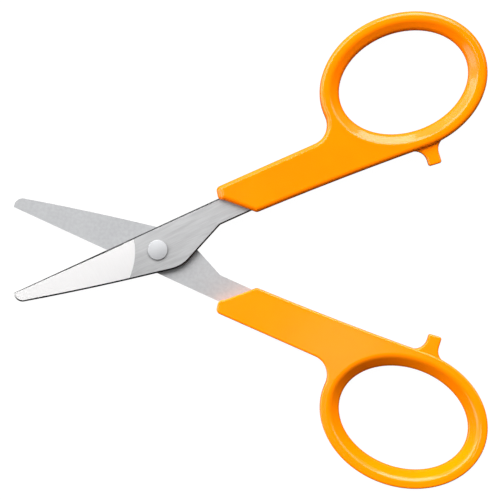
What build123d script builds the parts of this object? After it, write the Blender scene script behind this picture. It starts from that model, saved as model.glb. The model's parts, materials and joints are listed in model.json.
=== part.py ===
from build123d import *
import os
from math import cos, radians, tan

# Small ring-handled snips: two identical halves, one turned over, joined by a rivet.
# Millimetres. Each half is drawn as it lies when the pair is closed: the pivot is the
# origin, the handle points towards +X, the centre line of the closed pair is the X axis
# and the plane between the two blades is z = 0. The front half's outer face looks to +Z.

# The pair at rest
half_opening = 17.13            # angle from each half to the centre line
pivot_x = -23.16                # pivot, from the middle of the footprint
blade_gap = 0.04                # running gap between the two inner faces

# Blade plate and its tang
blade_thickness = 1.5
top_line_angle = 7.6            # cutting edge and tang top, against the centre line
top_line_rise = 5.35            # height of that line over the pivot
tip_corner_x = -37.55
nose_mid = (-36.97, -1.87)
spine_start = (-35.8, -2.45)
spine_mid = (-17.0, -4.33)
heel_corner = (4.6, -5.8)
heel_radius = 8.0
knee_corner = (16.75, 1.44)
knee_radius = 2.0
tang_waist = (26.0, 2.6)
tang_end_x = 44.0
tang_end_low = 5.7
tang_end_high = 9.3
tang_end_radius = 1.4
tang_hole_radius = 1.25
tang_hole_places = ((31.0, 6.3), (39.0, 7.1))
blade_edge_rounding = 0.4       # outer face only

# Ground taper of the outer face, and the cutting bevel
grind_start = (-4.96, 4.9)      # furthest point of the ground zone from the tip
grind_angle = 1.85
grind_radius = 365.0
bevel_angle = 18.0              # lean of the bevel away from square
bevel_end_x = -3.6
bevel_runout_radius = 5.0

# Handle
handle_thickness = 6.4
nose_low = (18.2, 7.55)
nose_bend = (19.7, 6.9)
nose_high = (18.45, 10.58)
front_corner = (26.45, 1.72)
under_mid = (49.0, 3.55)
ring_arc = 292.6                # ring outline, from its lowest point round to the shoulder
shoulder_radius = 5.2
outer_edge_rounding = 1.2       # outer face and upright corners
inner_edge_rounding = 0.45      # inner face
nose_slope_length = 1.1         # facet at the front end of both faces, along the handle
nose_slope_depth = 1.4
ring_centre = (71.0, 21.95)
ring_semi_axes = (21.36, 17.13)
ring_tilt = 2.5
hole_semi_axes = (16.6, 12.4)
hole_tilt = 3.4
hole_outer_slope = 33.0         # fall of the hole's sloping sides from each face
hole_inner_slope = 48.0
hole_spread = 2.475             # width of each sloping side
hole_rounding = 1.83
hole_land_rounding = 1.6        # where a sloping side meets the upright band between them

# Stop nub on the handle, which meets the other handle's nub at the centre line
nub_thickness = 3.4
nub_left = 70.9
nub_right = 74.25
nub_root_left = (66.0, 4.7)
nub_corner_left = (nub_left, 4.9)
nub_corner_right = (nub_right, 5.15)
nub_root_right = (79.0, 6.25)
nub_root_radius = 3.2
nub_base_height = 7.8
nub_end_radius = 0.6
nub_edge_rounding = 0.45

# Rivet and washer
rivet_radius = 1.5
rivet_play = 0.05               # radial, in the rear blade and the washer
head_radius = 2.5
head_rim = 0.5
head_height = 0.7
head_edge_rounding = 0.15
tail_radius = 2.1
tail_rim = 0.2
tail_height = 0.6
washer_radius = 2.9
washer_thickness = 0.4

inner_face = blade_gap / 2
outer_face = inner_face + blade_thickness


def top_line(x):
    """Height of the cutting edge and tang top at x."""
    return top_line_rise + x * tan(radians(top_line_angle))


def round_corner(sketch, point, radius):
    """Round the corner of the sketch that lies nearest to the point."""
    corner = sketch.vertices().sort_by_distance(Vector(*point))[0]
    return fillet(corner, radius)


def slab(sketch, low, high):
    """The sketch as a plate between two heights."""
    return Pos(0, 0, low) * extrude(sketch, high - low)


def ellipse(centre, semi_axes, tilt):
    """A tilted ellipse on the plane between the blades."""
    return Pos(*centre) * Rot(0, 0, tilt) * Ellipse(*semi_axes)


def blade_outline():
    """Outline of the plate: cutting edge, nose, spine, heel, knee and tang."""
    tip_corner = (tip_corner_x, top_line(tip_corner_x))
    tang_start_high = (tang_waist[0], top_line(tang_waist[0]))
    end_high = (tang_end_x, tang_end_high)
    end_low = (tang_end_x, tang_end_low)
    nose = ThreePointArc(tip_corner, nose_mid, spine_start)
    spine = ThreePointArc(spine_start, spine_mid, heel_corner)
    tang = Polyline(heel_corner, knee_corner, tang_waist, end_low, end_high, tang_start_high, tip_corner)
    outline = make_face([nose, spine, tang])
    outline = round_corner(outline, heel_corner, heel_radius)
    outline = round_corner(outline, knee_corner, knee_radius)
    outline = round_corner(outline, end_low, tang_end_radius)
    return round_corner(outline, end_high, tang_end_radius)


def bevel_cutter():
    """Wedge that grinds the cutting bevel and runs out before the pivot."""
    tip_corner = (tip_corner_x, top_line(tip_corner_x), inner_face)
    along = Vector(1, 0, 0).rotate(Axis.Z, top_line_angle)
    across = Vector(0, 1, 0).rotate(Axis.Z, top_line_angle)
    height = 2 * blade_thickness
    lean = height * tan(radians(bevel_angle))
    reach = 3 * bevel_runout_radius
    section = Polyline((0, 0), (-lean, height), (reach, height), (reach, 0), (0, 0))
    length = (bevel_end_x - tip_corner_x) / cos(radians(top_line_angle))
    lead = 3
    start = Plane(origin=Vector(*tip_corner) - along * lead, x_dir=across, z_dir=along)
    cutter = extrude(start * make_face(section), length + lead)
    far_face = cutter.faces().sort_by(Axis.X)[-1]
    mid_height = Vector(*tip_corner) + along * length - across * (lean / 2) + Vector(0, 0, height / 2)
    runout = far_face.edges().sort_by_distance(mid_height)[0]
    return fillet(runout, bevel_runout_radius)


def ground_envelope():
    """Huge cylinder whose tilted crest is the ground outer face."""
    crest = Pos(grind_start[0], grind_start[1], outer_face) * Rot(0, -grind_angle, 0)
    return crest * Pos(0, 0, -grind_radius) * Rot(0, 90, 0) * Cylinder(grind_radius, 300)


def outer_rim(plate):
    """Edges round the outer face, except the cutting bevel and the edge of the ground zone."""
    flat = plate.faces().filter_by(Axis.Z).sort_by(Axis.Z)[-1]
    ground = plate.faces().filter_by(GeomType.CYLINDER).sort_by(SortBy.AREA)[-1]
    ground_marks = [edge.center() for edge in ground.edges()]
    rim = [edge for edge in flat.edges() if min(abs(edge.center() - mark) for mark in ground_marks) > 0.01]
    flat_marks = [edge.center() for edge in flat.edges()]
    for edge in ground.edges():
        middle = edge.center()
        on_bevel = middle.Y > top_line(middle.X) - blade_thickness
        if min(abs(middle - mark) for mark in flat_marks) > 0.01 and not on_bevel:
            rim.append(edge)
    return rim


def blade(bore_radius):
    """One blade with its tang, outer face up."""
    plate = slab(blade_outline(), inner_face, outer_face)
    plate = plate & ground_envelope()
    plate -= bevel_cutter()
    plate = fillet(outer_rim(plate), blade_edge_rounding)
    plate -= Cylinder(bore_radius, 4 * blade_thickness)
    for place in tang_hole_places:
        plate -= Pos(*place) * Cylinder(tang_hole_radius, 4 * blade_thickness)
    return plate


def handle_outline():
    """Outline of the shank and the ring, with the shoulder between them rounded."""
    ring = EllipticalCenterArc(
        ring_centre, *ring_semi_axes, start_angle=-90, arc_size=ring_arc, rotation=ring_tilt
    )
    under = ThreePointArc(front_corner, under_mid, ring @ 0)
    front = Polyline(ring @ 1, nose_high, nose_low, nose_bend, front_corner)
    outline = make_face([ring, under, front])
    return round_corner(outline, ring @ 1, shoulder_radius)


def nub():
    """Thin stop nub that stands out of the ring towards the other handle."""
    half = nub_thickness / 2
    end_left = (nub_left, 0)
    end_right = (nub_right, 0)
    left_side = [nub_root_left, nub_corner_left, end_left]
    right_side = [end_right, nub_corner_right, nub_root_right]
    base = [(nub_root_right[0], nub_base_height), (nub_root_left[0], nub_base_height)]
    outline = make_face(Polyline(*left_side, *right_side, *base, close=True))
    for corner in (end_left, end_right):
        outline = round_corner(outline, corner, nub_end_radius)
    for corner in (nub_corner_left, nub_corner_right):
        outline = round_corner(outline, corner, nub_root_radius)
    plate = slab(outline, -half, half)
    free_edges = [
        edge for edge in plate.edges()
        if abs(edge.center().Z) > half - 0.01 and edge.center().Y < nub_root_right[1]
    ]
    return fillet(free_edges, nub_edge_rounding)


def sharp_edges(solid):
    """Edges where the two faces meet at an angle."""
    faces = solid.faces()
    sharp = []
    for edge in solid.edges():
        middle = edge @ 0.5
        first, second = [face.normal_at(middle) for face in faces if face.distance_to(middle) < 0.001][:2]
        if first.get_angle(second) > 5:
            sharp.append(edge)
    return sharp


def finger_hole():
    """Solid that fills the finger hole, which widens from an upright band towards both faces."""
    half = handle_thickness / 2
    top = half - hole_spread * tan(radians(hole_outer_slope))
    bottom = hole_spread * tan(radians(hole_inner_slope)) - half
    narrow = ellipse(ring_centre, hole_semi_axes, hole_tilt)
    wide = ellipse(ring_centre, [axis + hole_spread for axis in hole_semi_axes], hole_tilt)
    solid = slab(narrow, bottom, top)
    for level, face in ((top, half), (bottom, -half)):
        solid += loft([Pos(0, 0, level) * narrow, Pos(0, 0, face) * wide], ruled=True)
    return solid


def handle():
    """One handle: shank, finger ring and stop nub, moulded round the tang."""
    half = handle_thickness / 2
    body = slab(handle_outline(), -half, half)
    for face in body.faces().filter_by(Axis.Z):
        nose_edge = face.edges().sort_by(Axis.X)[0]
        body = chamfer(nose_edge, nose_slope_length, nose_slope_depth, reference=face)
    outer_edges = [edge for edge in sharp_edges(body) if (edge @ 0.5).Z > -half / 2]
    body = fillet(outer_edges, outer_edge_rounding)
    body = fillet(sharp_edges(body), inner_edge_rounding)
    body -= finger_hole()
    rims = [edge for edge in body.edges() if edge.is_closed]
    body = fillet([edge for edge in rims if abs(edge.center().Z) > half - 0.01], hole_rounding)
    rims = [edge for edge in body.edges() if edge.is_closed]
    body = fillet([edge for edge in rims if abs(edge.center().Z) < half - 1], hole_land_rounding)
    return body + nub() - blade(rivet_radius)


def domed_disc(radius, rim, height):
    """Disc that stands on z = 0 with an upright rim and a spherical top."""
    rise = height - rim
    dome_radius = (radius**2 + rise**2) / (2 * rise)
    dome = Pos(0, 0, height - dome_radius) * Sphere(dome_radius)
    return Pos(0, 0, height / 2) * Cylinder(radius, height) & dome


def rivet():
    """Rivet with a domed head on the front blade and a peened tail behind the washer."""
    head = domed_disc(head_radius, head_rim, head_height)
    head_edge = head.edges().filter_by(lambda edge: abs(edge.center().Z - head_rim) < 0.01)
    head = Pos(0, 0, outer_face) * fillet(head_edge, head_edge_rounding)
    tail_seat = outer_face + blade_gap + washer_thickness
    tail = Pos(0, 0, -tail_seat) * Rot(180, 0, 0) * domed_disc(tail_radius, tail_rim, tail_height)
    shank_length = outer_face + tail_seat
    shank = Pos(0, 0, (outer_face - tail_seat) / 2) * Cylinder(rivet_radius, shank_length)
    return head + shank + tail


def washer():
    """Flat washer between the rear blade and the rivet's tail."""
    middle = outer_face + blade_gap + washer_thickness / 2
    ring = Cylinder(washer_radius, washer_thickness) - Cylinder(rivet_radius + rivet_play, washer_thickness)
    return Pos(0, 0, -middle) * ring


def main():
    """Places the pieces at rest, lying flat, and writes one file for each."""
    lying = Pos(pivot_x, 0, handle_thickness / 2)
    front = lying * Rot(0, 0, half_opening)
    rear = lying * Rot(0, 0, -half_opening) * Rot(180, 0, 0)
    pieces = {
        "front_blade": front * blade(rivet_radius),
        "rear_blade": rear * blade(rivet_radius + rivet_play),
        "front_handle": front * handle(),
        "rear_handle": rear * handle(),
        "pivot_rivet": front * rivet(),
        "rivet_washer": front * washer(),
    }
    os.makedirs("parts", exist_ok=True)
    for name, piece in pieces.items():
        export_step(piece, f"parts/{name}.step")


main()
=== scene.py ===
"""Looks of the small ring-handled snips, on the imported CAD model.

Everything is in metres, in the row frame. The materials are drawn in the "half frame" of a
closed pair, in millimetres: pivot at the origin, handle towards +X, centre line along X,
outer face of the half towards +Z. The rear half is the same half turned over.
"""

import json
from math import cos, pi, radians, sin

import bpy
from mathutils import Euler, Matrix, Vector

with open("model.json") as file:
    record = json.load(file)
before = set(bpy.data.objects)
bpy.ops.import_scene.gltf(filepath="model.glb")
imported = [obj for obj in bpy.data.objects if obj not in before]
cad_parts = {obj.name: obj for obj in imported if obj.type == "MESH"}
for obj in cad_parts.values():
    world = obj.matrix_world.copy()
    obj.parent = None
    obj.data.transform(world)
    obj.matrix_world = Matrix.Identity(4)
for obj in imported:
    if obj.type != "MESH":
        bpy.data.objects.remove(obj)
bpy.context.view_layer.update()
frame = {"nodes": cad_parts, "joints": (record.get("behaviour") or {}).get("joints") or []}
nodes = frame["nodes"]
pivot = Vector(frame["joints"][0]["pos_m"])

scene = bpy.context.scene
scene.view_settings.view_transform = "Standard"

MM = 0.001
WHITE = (1, 1, 1, 1)

HALF_OPENING = radians(17.13)     # from each half to the centre line, at rest

# Blade, in the half frame. A pair is where a change starts and where it ends.
OUTER_SIDE = (0.1, 0.2)           # height at which the outer side's finish takes over
GRAIN_ANGLE = radians(7.6)        # grain runs along the cutting edge
GRIND_START = (-4.96, 4.9)        # point of the ground zone that is furthest from the tip
GRIND_CURVE = 0.0423              # how fast its edge curves back, per millimetre
GRIND_EDGE = 0.06                 # half the width over which its edge fades
NOSE = (-32.0, -36.0)             # where the painted reflection on the edges sets in, near the tip
CUTTING_SIDE_TO_SPINE = (-7.0, 8.0)   # painted sheen across the blade, along Y: darker on the cutting side, lighter at the spine

BRUSHED = (0.446, 0.447, 0.452)
BLASTED = (0.45, 0.454, 0.463)
GROUND = (0.94, 0.928, 0.927)
# Sheared edges: a darker finish, pushed nearly black as painted shade; near the tip they turn
# light, a painted reflection
SHEARED_AND_PAINTED_SHADE = (0.045, 0.045, 0.046)
NOSE_PAINTED_REFLECTION = (0.5, 0.5, 0.5, 1)
SHEARED_ROUGHNESS = 0.36
BLASTED_ROUGHNESS = 0.72
STEEL_RELIEF = 0.01 * MM

# Handles
FRONT_GREENS = (0.195, 0.207)     # green of the orange where it is deepest and lightest
# The rear handle's greens are higher, a lighter orange: painted light, standing in for that
# handle being lit more brightly
REAR_GREENS_PAINTED_LIGHTER = (0.222, 0.234)
PARTING_GROOVE = (0.02, 0.09)     # its half width at the bottom and at the top
PEEL_HEIGHT = 0.012               # against the groove's depth
PLASTIC_RELIEF = 0.03 * MM

# Rivet and washer
RIVET_FLAT = (0.476, 0.48, 0.492)
RIVET_EDGE = (0.3, 0.3, 0.305)
TURNING_MARKS = 40.0              # radians per millimetre of radius
TURNING_TONE = 0.006

# Tent round the object: cosines between which its light sets in
TENT_SIDE = (0.05, 0.5)           # from the tent's azimuth
TENT_TOP = (0.9, 0.75)            # from straight up
TENT_BOTTOM = (-0.5, 0.0)
JUST_OVER_ONE = 1.0001            # keeps the root and the division safe straight up

# Camera, straight above
CAMERA_X = -0.125 * MM
CAMERA_HEIGHT = 0.9
VIEW_WIDTH = 0.125                # what the picture spans at the pivot's height


# ---------------------------------------------------------------- node helpers

class Nodes:
    """Short calls that add nodes to one node tree."""

    def __init__(self, tree):
        self.tree = tree

    def node(self, kind, **settings):
        made = self.tree.nodes.new("ShaderNode" + kind)
        for key, value in settings.items():
            setattr(made, key, value)
        return made

    def put(self, target, value):
        """Links an output to the target socket, or sets a number, colour or vector on it."""
        if isinstance(value, bpy.types.NodeSocket):
            self.tree.links.new(value, target)
        else:
            target.default_value = value

    def fill(self, targets, values):
        for target, value in zip(targets, values):
            self.put(target, value)

    def math(self, operation, a, b=0.0):
        made = self.node("Math", operation=operation)
        self.fill(made.inputs, (a, b))
        return made.outputs[0]

    def vector_math(self, operation, *vectors):
        made = self.node("VectorMath", operation=operation)
        self.fill(made.inputs, vectors)
        return made

    def dot(self, a, b):
        return self.vector_math("DOT_PRODUCT", a, b).outputs["Value"]

    def split(self, vector):
        made = self.node("SeparateXYZ")
        self.put(made.inputs[0], vector)
        return made.outputs

    def ramp(self, value, low, high, to_low=0.0, to_high=1.0):
        """Maps value from low..high to to_low..to_high, smoothly and clamped."""
        made = self.node("MapRange", interpolation_type="SMOOTHSTEP")
        self.fill(made.inputs, (value, low, high, to_low, to_high))
        return made.outputs[0]

    def spread(self, noise, low=0.0, high=1.0, width=0.2):
        """Spreads the middle of a noise, 0.5 - width to 0.5 + width, over low..high."""
        return self.ramp(noise, 0.5 - width, 0.5 + width, low, high)


class Shader(Nodes):
    """A new material, with calls for what its surface needs."""

    def __init__(self, name, **sockets):
        self.material = bpy.data.materials.new(name)
        self.material.use_nodes = True
        super().__init__(self.material.node_tree)
        self.surface = self.tree.nodes["Principled BSDF"]
        for socket, value in sockets.items():
            self.set(socket, value)

    def set(self, socket, value):
        """Links or sets a socket of the surface, with _ for each space in its name."""
        self.put(self.surface.inputs[socket.replace("_", " ")], value)

    def mix(self, factor, a, b):
        """Colour between a and b."""
        made = self.node("Mix", data_type="RGBA")
        self.fill(made.inputs[0:1] + made.inputs[6:8], (factor, a, b))
        return made.outputs[2]

    def blend(self, factor, a, b):
        """Number between a and b."""
        made = self.node("Mix", data_type="FLOAT")
        self.fill(made.inputs[0:1] + made.inputs[2:4], (factor, a, b))
        return made.outputs[0]

    def tinted(self, color, tone):
        """The colour, lighter or darker by the tone."""
        made = self.node("CombineColor")
        self.fill(made.inputs, [self.math("ADD", tone, level) for level in color])
        return made.outputs[0]

    def noise(self, place, scale=1.0, detail=2.0, stretch=(1, 1, 1)):
        mapping = self.node("Mapping")
        self.put(mapping.inputs["Vector"], place)
        self.put(mapping.inputs["Scale"], stretch)
        made = self.node("TexNoise")
        self.put(made.inputs["Vector"], mapping.outputs[0])
        self.put(made.inputs["Scale"], scale)
        self.put(made.inputs["Detail"], detail)
        return made.outputs["Fac"]

    def bump(self, height, strength, distance):
        made = self.node("Bump")
        self.put(made.inputs["Height"], height)
        self.put(made.inputs["Strength"], strength)
        self.put(made.inputs["Distance"], distance)
        self.set("Normal", made.outputs[0])


def half_frame(shader, turned_over):
    """Object coordinates turned into the half frame, in millimetres."""
    turn = Euler((pi if turned_over else 0, 0, -HALF_OPENING))
    mapping = shader.node("Mapping")
    shader.put(mapping.inputs["Vector"], shader.node("TexCoord").outputs["Object"])
    shader.put(mapping.inputs["Scale"], (1 / MM,) * 3)
    shader.put(mapping.inputs["Rotation"], turn)
    shader.put(mapping.inputs["Location"], -(turn.to_matrix() @ pivot) / MM)
    return mapping.outputs[0]


def facing_mask(shader, low=0.985, high=0.996):
    """1 on the faces that look up or down, 0 on the edges and walls, by the normal's Z."""
    normal = shader.node("NewGeometry").outputs["Normal"]
    return shader.ramp(shader.math("ABSOLUTE", shader.split(normal)["Z"]), low, high)


# ---------------------------------------------------------------- blades

def ground_mask(shader, x, y, outside):
    """1 on the ground zone of the outer face."""
    lift = shader.math("SUBTRACT", y, GRIND_START[1])
    bow = shader.math("MULTIPLY", shader.math("MULTIPLY", lift, lift), GRIND_CURVE)
    past_edge = shader.math("ADD", shader.math("SUBTRACT", x, GRIND_START[0]), bow)
    return shader.math("MULTIPLY", shader.ramp(past_edge, GRIND_EDGE, -GRIND_EDGE), outside)


def turned_to_grain(shader, place):
    """Half frame, turned so that X runs along the grain."""
    turned = shader.node("VectorRotate", rotation_type="Z_AXIS")
    shader.put(turned.inputs["Vector"], place)
    shader.put(turned.inputs["Angle"], -GRAIN_ANGLE)
    return turned.outputs[0]


def grain_tangent(shader, turned_over):
    """Direction of the grain at rest, for the stretched reflection."""
    along = HALF_OPENING + GRAIN_ANGLE
    if turned_over:
        along = -along
    made = shader.node("VectorTransform", vector_type="VECTOR",
                       convert_from="OBJECT", convert_to="WORLD")
    shader.put(made.inputs[0], (cos(along), sin(along), 0))
    return made.outputs[0]


def blade_steel(name, turned_over):
    """Satin plate: grain and a bright ground zone outside, matte inside; sheared edges dark,
    partly as painted shade, with a painted reflection near the tip; a painted sheen makes the
    brushed face lighter toward the spine.
    """
    shader = Shader(name, Metallic=1.0, Anisotropic=0.35)
    place = half_frame(shader, turned_over)
    x, y, z = shader.split(place)
    outside = shader.ramp(z, *OUTER_SIDE)
    ground = ground_mask(shader, x, y, outside)
    facing = facing_mask(shader)

    grain = turned_to_grain(shader, place)
    # Noises per millimetre of the half frame
    lines = shader.noise(grain, detail=3.0, stretch=(0.22, 5.0, 5.0))
    broad = shader.noise(grain, stretch=(0.06, 1.0, 1.0))
    across = shader.noise(grain, stretch=(4.0, 0.25, 4.0))
    mottle = shader.noise(place, scale=1.3, detail=4.0)
    cloud = shader.noise(place, scale=0.12)

    brushing = shader.math("ADD", shader.spread(lines, -0.045, 0.045, width=0.22),
                           shader.spread(broad, -0.008, 0.008))
    blasting = shader.math("ADD", shader.spread(mottle, -0.018, 0.018),
                           shader.spread(cloud, -0.01, 0.01))
    # Painted sheen: the brushed face is a touch darker on the cutting side and lighter toward
    # the spine
    painted_sheen_toward_spine = shader.ramp(y, *CUTTING_SIDE_TO_SPINE, -0.014, 0.016)
    brushed_and_sheen = shader.tinted(BRUSHED, shader.math("ADD", brushing, painted_sheen_toward_spine))
    blasted = shader.tinted(BLASTED, blasting)
    polished = shader.tinted(GROUND, shader.spread(across, -0.01, 0.01))
    broad_face = shader.mix(ground, shader.mix(outside, blasted, brushed_and_sheen), polished)
    # Edge colour: sheared finish darkened by painted shade, turning to a light painted
    # reflection near the tip
    edges_sheared_and_painted = shader.mix(shader.ramp(x, *NOSE), shader.tinted(SHEARED_AND_PAINTED_SHADE, blasting), NOSE_PAINTED_REFLECTION)
    shader.set("Base_Color", shader.mix(facing, edges_sheared_and_painted, broad_face))

    satin = shader.blend(outside, BLASTED_ROUGHNESS, shader.spread(lines, 0.60, 0.70))
    rough = shader.blend(ground, satin, shader.spread(across, 0.33, 0.36))
    shader.set("Roughness", shader.blend(facing, SHEARED_ROUGHNESS, rough))
    shader.set("Tangent", grain_tangent(shader, turned_over))
    shader.bump(shader.blend(outside, mottle, lines),
                strength=shader.blend(ground, 0.12, 0.0), distance=STEEL_RELIEF)
    return shader.material


# ---------------------------------------------------------------- handles

def handle_plastic(name, turned_over, greens):
    """Glossy orange plastic: slight drift in colour and gloss, fine groove at mid thickness."""
    shader = Shader(name, Metallic=0.0, Specular_IOR_Level=0.35)
    place = half_frame(shader, turned_over)
    cloud = shader.noise(place, scale=0.12)
    peel = shader.noise(place, scale=1.6)
    scratch = shader.noise(place, detail=4.0, stretch=(0.3, 6.0, 6.0))
    deep, light = ((1.0, green, 0.0, 1) for green in greens)
    shader.set("Base_Color", shader.mix(shader.spread(cloud), deep, light))
    shader.set("Roughness", shader.ramp(scratch, 0.35, 0.75, 0.11, 0.14))

    from_mid = shader.math("ABSOLUTE", shader.split(place)["Z"])
    beside_groove = shader.ramp(from_mid, *PARTING_GROOVE)
    height = shader.math("ADD", shader.math("MULTIPLY", peel, PEEL_HEIGHT), beside_groove)
    shader.bump(height, strength=0.5, distance=PLASTIC_RELIEF)
    return shader.material


# ---------------------------------------------------------------- rivet and washer

def rivet_steel(name):
    """Satin steel of the rivet and washer, with faint turning marks."""
    shader = Shader(name, Metallic=1.0)
    place = half_frame(shader, False)
    facing = facing_mask(shader, low=0.5, high=0.9)
    speckle = shader.noise(place, scale=5.0, detail=3.0)
    flat = shader.vector_math("MULTIPLY", place, (1, 1, 0)).outputs[0]
    radius = shader.vector_math("LENGTH", flat).outputs["Value"]
    rings = shader.math("SINE", shader.math("MULTIPLY", radius, TURNING_MARKS))
    tone = shader.math("ADD", shader.spread(speckle, -0.03, 0.03, width=0.25),
                       shader.math("MULTIPLY", rings, TURNING_TONE))
    edge = shader.tinted(RIVET_EDGE, tone)
    shader.set("Base_Color", shader.mix(facing, edge, shader.tinted(RIVET_FLAT, tone)))
    shader.set("Roughness", shader.spread(speckle, 0.66, 0.74))
    shader.bump(speckle, strength=0.1, distance=STEEL_RELIEF)
    return shader.material


def paint(node, material):
    """Puts one material on a CAD node."""
    slots = nodes[node].data.materials
    slots.clear()
    slots.append(material)


# ---------------------------------------------------------------- studio

def toward(azimuth, polar):
    """Unit vector from the object: azimuth from +X, polar angle from straight up, in degrees."""
    a, p = radians(azimuth), radians(polar)
    return Vector((cos(a) * sin(p), sin(a) * sin(p), cos(p)))


def add_camera():
    data = bpy.data.cameras.new("camera")
    data.lens = data.sensor_width * (CAMERA_HEIGHT - pivot.z) / VIEW_WIDTH
    camera = bpy.data.objects.new("camera", data)
    camera.location = (CAMERA_X, 0, CAMERA_HEIGHT)
    scene.collection.objects.link(camera)
    scene.camera = camera


def add_softbox(name, place, size, radiance):
    """Rectangular light of the given brightness, facing the object."""
    light = bpy.data.lights.new(name, "AREA")
    light.shape = "RECTANGLE"
    light.size, light.size_y = size
    light.energy = radiance * pi * size[0] * size[1]
    softbox = bpy.data.objects.new(name, light)
    softbox.location = place
    softbox.rotation_euler = (-Vector(place)).to_track_quat("-Z", "Y").to_euler()
    scene.collection.objects.link(softbox)


def add_floor():
    """Plain pale floor that only the camera sees, so it throws no light on the object."""
    bpy.ops.mesh.primitive_plane_add(size=4, location=(0, 0, -0.02 * MM))
    floor = bpy.context.object
    floor.name = "floor"
    shader = Shader("floor_pale", Roughness=0.8, Emission_Color=WHITE, Emission_Strength=0.99)
    grain = shader.noise(shader.node("TexCoord").outputs["Object"], scale=300.0, detail=3.0)
    darker, lighter = (0.02, 0.02, 0.02, 1), (0.022, 0.022, 0.022, 1)
    shader.set("Base_Color", shader.mix(shader.spread(grain), darker, lighter))
    floor.data.materials.append(shader.material)
    floor.visible_diffuse = False
    floor.visible_glossy = False
    floor.visible_shadow = False


def tent_light(world, direction, azimuth, radiance):
    """White tent around one azimuth, open straight above and fading out below."""
    height = world.dot(direction, (0, 0, 1))
    flat_square = world.math("SUBTRACT", JUST_OVER_ONE, world.math("MULTIPLY", height, height))
    facing = world.math("DIVIDE", world.dot(direction, toward(azimuth, 90)),
                        world.math("SQRT", flat_square))
    side = world.ramp(facing, *TENT_SIDE)
    open_top = world.ramp(height, *TENT_TOP, to_high=radiance)
    below = world.ramp(height, *TENT_BOTTOM)
    return world.math("MULTIPLY", world.math("MULTIPLY", side, open_top), below)


def glow_light(world, direction, azimuth, polar, inner, outer, radiance):
    """Round patch of light: full inside the inner angle, nothing outside the outer one."""
    cosine = world.dot(direction, toward(azimuth, polar))
    return world.ramp(cosine, cos(radians(outer)), cos(radians(inner)), to_high=radiance)


def add_world(tent, glows, ambient):
    """White tent on one side with brighter patches, and nearly dark elsewhere."""
    scene.world = bpy.data.worlds.new("studio")
    scene.world.use_nodes = True
    world = Nodes(scene.world.node_tree)
    direction = world.node("TexCoord").outputs["Generated"]
    total = tent_light(world, direction, **tent)
    for glow in glows:
        total = world.math("ADD", total, glow_light(world, direction, **glow))
    background = world.tree.nodes["Background"]
    world.put(background.inputs["Color"], WHITE)
    world.put(background.inputs["Strength"], world.math("ADD", total, ambient))


# ---------------------------------------------------------------- scene

paint("front_blade", blade_steel("front_blade_steel", False))
paint("rear_blade", blade_steel("rear_blade_steel", True))
paint("front_handle", handle_plastic("front_handle_plastic", False, FRONT_GREENS))
# The rear handle is painted a lighter orange, as painted light
paint("rear_handle", handle_plastic("rear_handle_plastic", True, REAR_GREENS_PAINTED_LIGHTER))
paint("pivot_rivet", rivet_steel("rivet_steel"))
paint("rivet_washer", rivet_steel("washer_steel"))

add_camera()
add_floor()
add_world(
    tent=dict(azimuth=125, radiance=1.4),
    glows=(
        dict(azimuth=34, polar=50, inner=6, outer=20, radiance=3.4),
        dict(azimuth=200, polar=66, inner=6, outer=20, radiance=3.2),
        dict(azimuth=176, polar=97, inner=8, outer=22, radiance=2.5),
    ),
    ambient=0.02,
)
add_softbox("key", toward(azimuth=80, polar=51), size=(0.66, 0.85), radiance=7.4)
add_softbox("fill_left", toward(azimuth=142, polar=49), size=(0.75, 0.5), radiance=5.7)
add_softbox("card_left", (-0.18, -0.03, 0.9), size=(0.14, 0.25), radiance=3.8)
add_softbox("card_low_right", (0.045, -0.052, 0.9), size=(0.05, 0.04), radiance=2.0)
